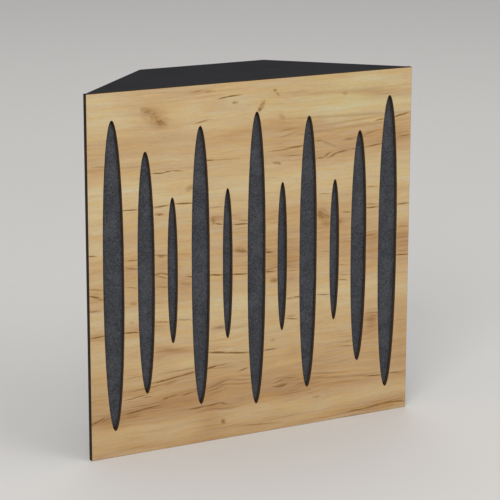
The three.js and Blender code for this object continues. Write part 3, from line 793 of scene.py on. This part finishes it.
def add_body(mesh, front, rings):
    """Adds a closed body: a grid of points for its front, then rings behind its rim, the last one closed."""
    grid = [[mesh.verts.new(point) for point in row] for row in front]
    for row, above in zip(grid, grid[1:]):
        for corner in range(len(row) - 1):
            mesh.faces.new((row[corner], row[corner + 1], above[corner + 1], above[corner]))
    rim = rim_of(grid)
    for ring in rings:
        behind = [mesh.verts.new(point) for point in ring]
        for corner in range(len(rim)):
            mesh.faces.new((rim[corner], rim[corner - 1], behind[corner - 1], behind[corner]))
        rim = behind
    mesh.faces.new(rim)


def rim_of(grid):
    """What lies along the rim of a grid, once round from its first corner."""
    right = [row[-1] for row in grid[1:-1]]
    left = [row[0] for row in grid[1:-1]]
    return [*grid[0], *right, *reversed(grid[-1]), *reversed(left)]


def points_at(x, y, z):
    return np.stack(np.broadcast_arrays(x, y, z), axis=-1)


def add_sheet(mesh, name, depth_at, pitch, corner):
    """The sheet itself, which narrows from its front to its back as the cabinet does. Gives its front's y."""
    low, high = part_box(name)
    places = [vertex.co for vertex in NODES[name].data.vertices]
    widest = max(places, key=lambda place: place.x)
    back_half = max(place.x for place in places if place.y > high.y - corner)
    half_height = (high.z - low.z) / 2
    across = np.linspace(-1, 1, int(2 * widest.x / pitch) + 2)
    up = np.linspace(-1, 1, int(2 * half_height / pitch) + 2)
    across, up = np.meshgrid(across, up)

    def spread(across, up, half, inset, y):
        return points_at(across * (half - inset), y, low.z + half_height + up * (half_height - inset))

    front = spread(across, up, widest.x, corner, widest.y)
    front[..., 1] += depth_at(front[..., 0], front[..., 2])
    rim_across, rim_up = (np.array(rim_of(share.tolist())) for share in (across, up))
    rings = [
        spread(rim_across, rim_up, widest.x, 0, widest.y + corner),
        spread(rim_across, rim_up, back_half, 0, high.y - corner),
        spread(rim_across, rim_up, back_half, corner, high.y),
    ]
    add_body(mesh, front, rings)
    return widest.y


def raised_outlines(name):
    """Where the foam's solid stands in the slots: each middle x, with heights and half widths up it."""
    low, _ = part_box(name)
    places = [vertex.co for vertex in NODES[name].data.vertices if vertex.co.y < low.y + FACE_MARGIN]
    places = sorted(places, key=lambda place: place.x)
    groups = [[places[0]]]
    for before, place in zip(places, places[1:]):
        if place.x - before.x > SLOT_SPACING:
            groups.append([])
        groups[-1].append(place)
    outlines = []
    for group in groups:
        middle = (group[0].x + group[-1].x) / 2
        side = sorted((place.z, place.x - middle) for place in group if place.x > middle - FACE_MARGIN)
        outlines.append((middle, *np.array(side).T))
    return outlines


def add_slot_filling(mesh, outline, face, root, depth_at, pitch):
    """The foam that stands in one slot: a pitted lens close to the slot's walls, rooted in the sheet."""
    middle, heights, halves = outline
    length = heights[-1] - heights[0] - 2 * SLOT_END_INSET
    steps = np.linspace(-1, 1, int(ROWS_MORE * length / pitch))
    up = (1 - ROWS_DRAWN) * steps + ROWS_DRAWN * np.sin(steps * math.pi / 2)
    z = (heights[0] + heights[-1] + up * length) / 2
    half = np.interp(z, heights, halves) + SLOT_REACH
    shoulder = np.minimum(SHOULDER, SHOULDER_SHARE * half)
    inner = np.linspace(-1, 1, int(2 * half.max() / pitch)) * (half - shoulder)[:, None]
    x = middle + np.concatenate([-half[:, None], inner, half[:, None]], axis=1)
    z = np.broadcast_to(z[:, None], x.shape)
    y = face + depth_at(x, z)
    y[:, [0, -1]] += SHOULDER
    y[[0, -1], 1:-1] += SHOULDER
    front = points_at(x, y, z)
    ring = np.array(rim_of(front.tolist()))
    ring[:, 1] = root
    add_body(mesh, front, [ring])


def soft_piece(name, node, mesh, material):
    bmesh.ops.recalc_face_normals(mesh, faces=mesh.faces)
    data = bpy.data.meshes.new(name)
    mesh.to_mesh(data)
    mesh.free()
    for polygon in data.polygons:
        polygon.use_smooth = len(polygon.vertices) == 4
    data.materials.append(material)
    piece = bpy.data.objects.new(name, data)
    bpy.context.scene.collection.objects.link(piece)
    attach(piece, "root")
    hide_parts(node)


def add_foam():
    node = "slot_foam"
    low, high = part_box(node)
    mesh = bmesh.new()
    depth_at = pitted(FOAM_SEED, low, high, FOAM_PITCH, FOAM_PIT)
    sheet_face = add_sheet(mesh, node, depth_at, SHEET_COARSER * FOAM_PITCH, FOAM_CORNER)
    for outline in raised_outlines(node):
        add_slot_filling(mesh, outline, low.y, sheet_face + FOAM_ROOT, depth_at, FOAM_PITCH)
    soft_piece("foam_sheet", node, mesh, graphite_foam())


def add_wool():
    wool = mineral_wool()
    for number in (1, 2):
        node = f"absorber_slab_{number}"
        mesh = bmesh.new()
        depth_at = pitted(WOOL_SEED + number, *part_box(node), WOOL_PITCH, WOOL_PIT)
        add_sheet(mesh, node, depth_at, WOOL_PITCH, WOOL_CORNER)
        soft_piece(f"wool_slab_{number}", node, mesh, wool)


# Floor and light

FLOOR_REACH = 12.0
FLOOR_COLOUR = srgb(214, 211, 207)
FLOOR_SHADE = 0.985
FLOOR_WAVES = 0.01
FLOOR_ROUGHNESS = 0.85
FLOOR_SPECULAR = 0.2

# Round soft lamps that face the middle of the part: name, place and width in metres, power in watts
LAMPS = (
    ("key", (-2.5, -3.1, 2.8), 2.6, 100),
    ("fill", (2.0, -3.3, 1.9), 3.0, 48),
    ("back", (1.4, 2.4, 3.6), 2.4, 22),
)
SKY_COLOUR = srgb(238, 239, 241)
SKY_STRENGTH = 0.66


def floor_material():
    paint = Paint("floor")
    grain = paint.noise(paint.place(), FLOOR_WAVES, detail=2)
    shade = tuple(FLOOR_SHADE * part for part in FLOOR_COLOUR[:3]) + (1.0,)
    colour = paint.mix(grain, shade, FLOOR_COLOUR)
    return paint.finish(colour, FLOOR_ROUGHNESS, specular=FLOOR_SPECULAR)


def add_floor():
    data = bpy.data.meshes.new("floor")
    corners = [(-1, -1), (1, -1), (1, 1), (-1, 1)]
    data.from_pydata([(FLOOR_REACH * x, FLOOR_REACH * y, 0) for x, y in corners], [], [(0, 1, 2, 3)])
    data.materials.append(floor_material())
    floor = bpy.data.objects.new("floor", data)
    bpy.context.scene.collection.objects.link(floor)


def add_lamp(name, place, target, width, power):
    data = bpy.data.lights.new(name, "AREA")
    data.shape = "DISK"
    data.size = width
    data.energy = power
    lamp = bpy.data.objects.new(name, data)
    bpy.context.scene.collection.objects.link(lamp)
    lamp.location = place
    lamp.rotation_euler = (Vector(target) - Vector(place)).to_track_quat("-Z", "Y").to_euler()


def add_light():
    middle = (0, 0, PANEL_HEIGHT / 2)
    for name, place, width, power in LAMPS:
        add_lamp(name, place, middle, width, power)
    world = bpy.data.worlds.new("world")
    bpy.context.scene.world = world
    world.use_nodes = True
    sky = world.node_tree.nodes["Background"]
    sky.inputs["Color"].default_value = SKY_COLOUR
    sky.inputs["Strength"].default_value = SKY_STRENGTH


add_camera()
dress_all()
add_foam()
add_wool()
add_floor()
add_light()
bpy.context.scene.view_settings.view_transform = "Standard"
